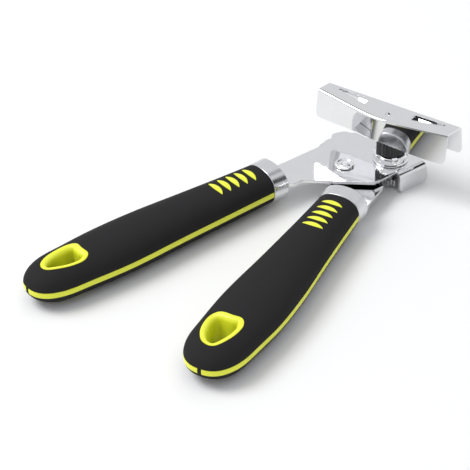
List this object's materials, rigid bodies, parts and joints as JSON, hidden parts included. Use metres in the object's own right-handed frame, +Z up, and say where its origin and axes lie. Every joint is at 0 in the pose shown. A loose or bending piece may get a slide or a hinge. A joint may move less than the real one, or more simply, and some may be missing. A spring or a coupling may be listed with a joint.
{
  "type": "manual can opener",
  "caption": "Hand-held can opener: pivoted handles with soft grips and hanging holes, and a turning key whose toothed wheel feeds the can's rim past a round cutter.",
  "frame": {"origin": "under the middle of the whole opener's bounding box, on the surface it lies on", "axes": "+X from the grips towards the head, +Y towards the upper jaw's handle, +Z up through the key"},
  "size_m": [0.1852, 0.1084, 0.0372],
  "materials": {
    "soft_black": "matte soft-touch overmould, nearly black",
    "lime_plastic": "semi-gloss lime-yellow moulded plastic",
    "polished_steel": "mirror-polished sheet steel with faint polishing lines",
    "satin_steel": "drawn steel collar, brushed round its girth",
    "chrome": "bright chrome plating",
    "hardened_steel": "ground and hardened steel",
    "black_plastic": "ribbed black moulding"
  },
  "bodies": {
    "upper_jaw": {"upper_plate": "polished_steel", "upper_ferrule": "satin_steel", "upper_grip_core": "lime_plastic", "upper_grip_cover": "soft_black", "pivot_rivet": "chrome", "pivot_spacer": "chrome", "pivot_washer": "chrome", "shaft_bush": "chrome"},
    "lower_jaw": {"lower_plate": "polished_steel", "lower_ferrule": "satin_steel", "lower_grip_core": "lime_plastic", "lower_grip_cover": "soft_black", "cutter_axle": "chrome"},
    "crank": {"crank_key": "chrome", "drive_shaft": "chrome", "spacer_sleeve": "black_plastic", "key_washer": "chrome", "feed_wheel": "hardened_steel", "thrust_washer": "hardened_steel"},
    "cutter": {"cutter_wheel": "hardened_steel"}
  },
  "joints": [
    {"name": "jaw_hinge", "type": "hinge", "parent": "upper_jaw", "child": "lower_jaw", "pos_m": [0.0641, -0.00053, 0.0081], "axis": [0, 0, 1], "range_deg": [-22, 24]},
    {"name": "crank_turn", "type": "hinge", "parent": "upper_jaw", "child": "crank", "pos_m": [0.0818, -0.01303, 0.01085], "axis": [0, 0, 1], "continuous": true},
    {"name": "cutter_spin", "type": "hinge", "parent": "lower_jaw", "child": "cutter", "pos_m": [0.07734, 0.01252, 0.0052], "axis": [0, 0, 1], "continuous": true}
  ]
}
